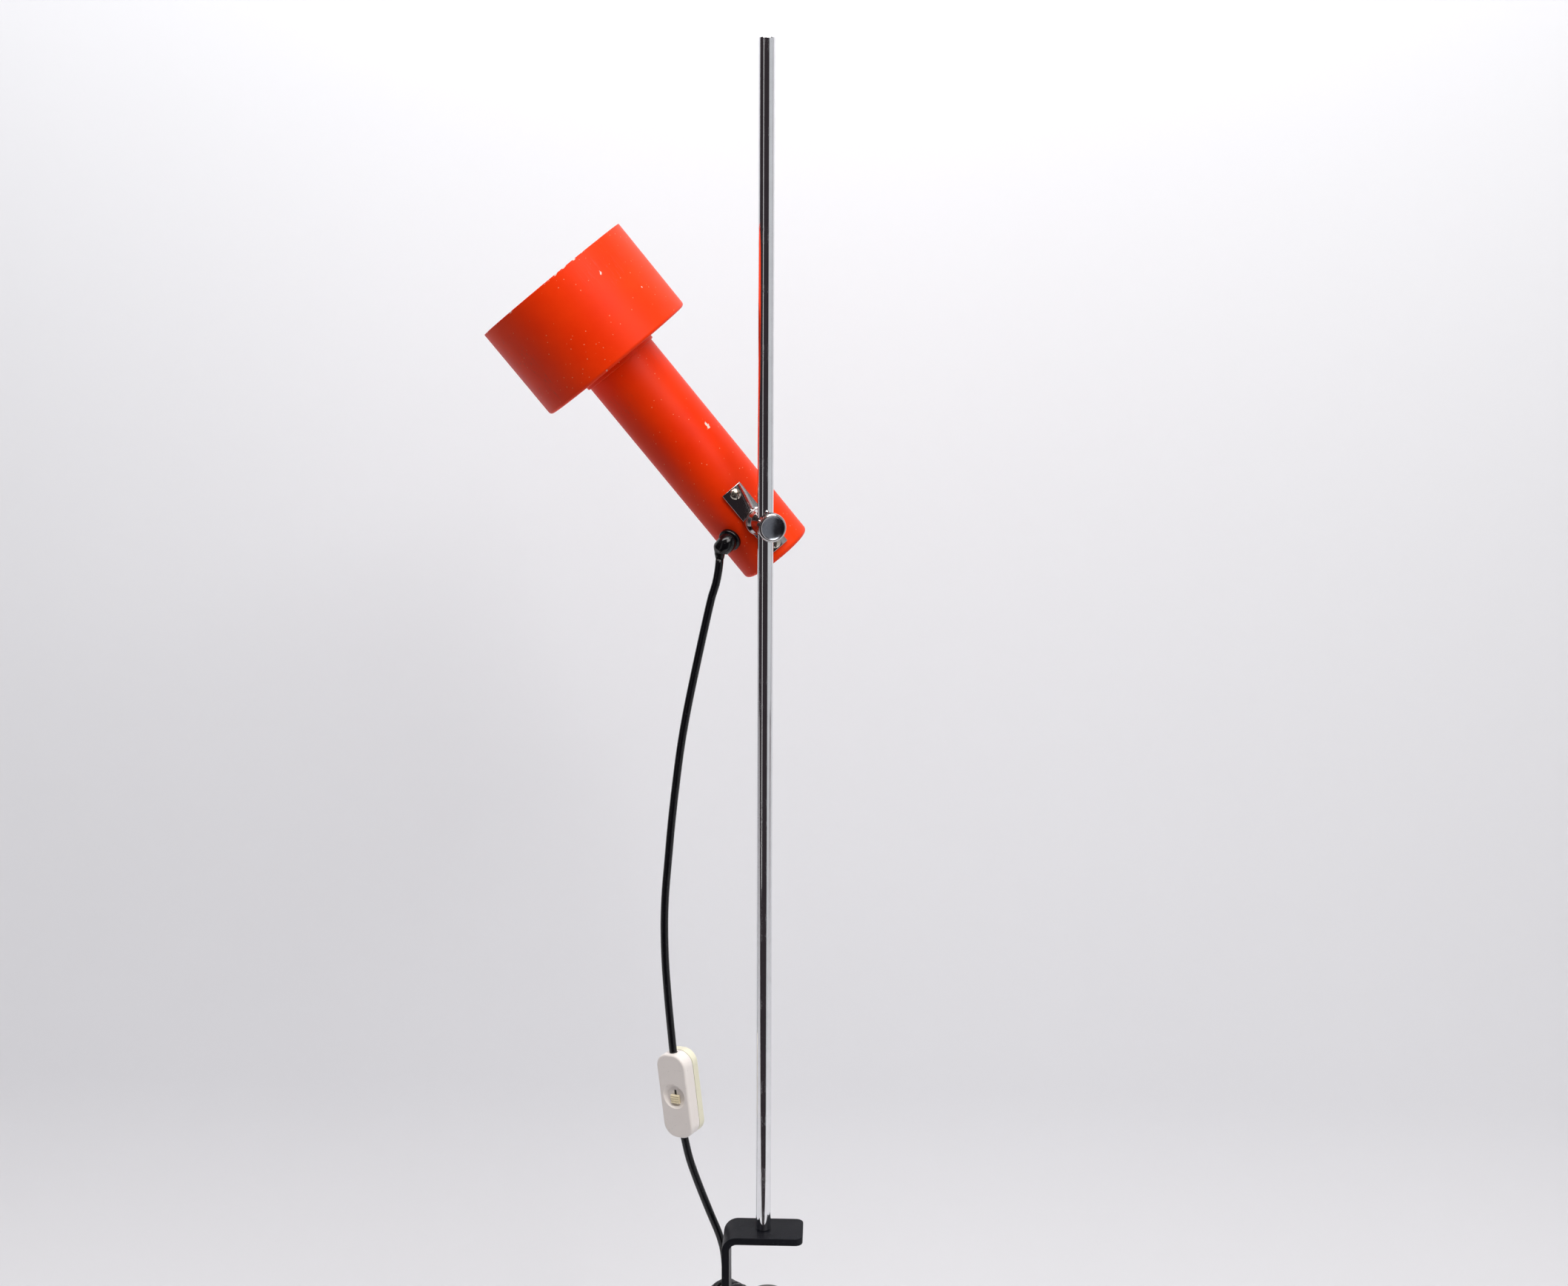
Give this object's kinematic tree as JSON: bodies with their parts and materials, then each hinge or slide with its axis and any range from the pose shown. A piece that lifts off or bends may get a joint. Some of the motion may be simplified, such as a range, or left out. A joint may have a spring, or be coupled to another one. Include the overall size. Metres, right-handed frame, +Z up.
{
  "type": "clamp spot lamp",
  "caption": "Clamp-on spot lamp: a cylindrical head with a wide round shade, sliding, swivelling and tilting on a tall thin rod that a screw clamp holds to a table edge.",
  "frame": {"origin": "middle of the flat underside of the clamp's top arm, 14 mm to the right of the rod's axis: the face that rests on the table top", "axes": "+Z up along the rod, +X to the right and +Y away from someone who stands in front of the clamp; the clamp's leg is at -X"},
  "size_m": [0.2063, 0.1124, 1.066],
  "materials": {
    "clamp_paint": "satin black enamel",
    "felt": "pressed felt",
    "steel": "zinc plated, dull",
    "screw_steel": "nickel plated, slightly aged",
    "chrome": "mirror chrome plate",
    "brass": "plain",
    "solder": "dull solder",
    "bulb_cap_metal": "nickelled brass",
    "red_paint": "glossy orange-red enamel with small chips",
    "black_plastic": "moulded, glossy",
    "strap": "moulded strap",
    "pin_metal": "nickel plated",
    "cord_sheath": "glossy black sheath",
    "cream_plastic": "moulded, pinkish cream",
    "ivory_plastic": "moulded, yellowed ivory",
    "slider_plastic": "moulded, yellowed",
    "bakelite": "pressed bakelite",
    "ceramic": "glazed ceramic",
    "ruby_glass": "ruby red glass",
    "brown_lead": "lead insulation",
    "blue_lead": "lead insulation"
  },
  "bodies": {
    "clamp": {"clamp_frame": "clamp_paint"},
    "pad": {"clamp_pad": "clamp_paint", "clamp_pad_liner": "felt"},
    "screw": {"clamp_screw": "steel", "clamp_grip": "black_plastic"},
    "pole": {"pole": "chrome", "pole_screw": "steel"},
    "carriage": {"tilt_stud": "chrome", "friction_washer": "steel", "stud_nut": "steel", "cord_upper": "cord_sheath", "cord_lower": "cord_sheath", "cord_hank": "cord_sheath", "cord_tie": "strap", "cord_tail": "cord_sheath", "plug_body": "black_plastic", "plug_pin_1": "pin_metal", "plug_pin_2": "pin_metal", "switch_front": "cream_plastic", "switch_rear": "ivory_plastic", "switch_screw_1": "steel", "switch_screw_2": "steel", "switch_contact_in": "brass", "switch_contact_out": "brass"},
    "slider": {"switch_slider": "slider_plastic", "switch_bridge": "brass"},
    "shoe": {"pressure_shoe": "brass"},
    "knob": {"lock_knob": "chrome", "knob_stem": "brass"},
    "head": {"lamp_can": "red_paint", "shade": "red_paint", "shade_collar": "red_paint", "saddle_plate": "chrome", "stud_seat": "chrome", "inner_seat": "steel", "plate_screw_front": "screw_steel", "plate_screw_rear": "screw_steel", "holder_bracket": "steel", "holder_nipple": "steel", "holder_nut": "steel", "holder_cap": "bakelite", "holder_skirt": "bakelite", "holder_insert": "ceramic", "screw_shell": "brass", "centre_contact": "brass", "bulb_tip": "solder", "bulb_cap": "bulb_cap_metal", "bulb_glass": "ruby_glass", "cord_gland": "black_plastic", "gland_nut": "steel", "lead_brown": "brown_lead", "lead_blue": "blue_lead"}
  },
  "joints": [
    {"name": "jaw_slide", "type": "slide", "parent": "clamp", "child": "pad", "axis": [0, 0, 1], "range_m": [-0.0125, 0.03]},
    {"name": "clamp_screw_turn", "type": "hinge", "parent": "pad", "child": "screw", "pos_m": [-0.011, 0, -0.08], "axis": [0, 0, 1], "range_deg": [-3601, 8641]},
    {"name": "pole_swivel", "type": "hinge", "parent": "clamp", "child": "pole", "pos_m": [-0.014, 0, 0], "axis": [0, 0, 1], "range_deg": [-170, 170]},
    {"name": "height_slide", "type": "slide", "parent": "pole", "child": "carriage", "axis": [0, 0, 1], "range_m": [-0.4, 0.28]},
    {"name": "shoe_press", "type": "slide", "parent": "carriage", "child": "shoe", "axis": [0.3392, -0.9407, 0], "range_m": [0, 0.00151]},
    {"name": "knob_turn", "type": "hinge", "parent": "shoe", "child": "knob", "pos_m": [-0.014, 0, 0.4832], "axis": [0.3392, -0.9407, 0], "range_deg": [0, 540]},
    {"name": "head_tilt", "type": "hinge", "parent": "carriage", "child": "head", "pos_m": [-0.014, 0, 0.4832], "axis": [0.3392, -0.9407, 0], "range_deg": [-75, 100], "deforming": ["cord_upper"]},
    {"name": "switch_slide", "type": "slide", "parent": "carriage", "child": "slider", "axis": [-0.1097, 0, 0.994], "range_m": [0, 0.0045]}
  ],
  "couplings": [
    {"joint": "clamp_screw_turn", "follows": "jaw_slide", "rad_per_m": 5026.5},
    {"joint": "shoe_press", "follows": "knob_turn", "m_per_rad": 0.00015915}
  ]
}
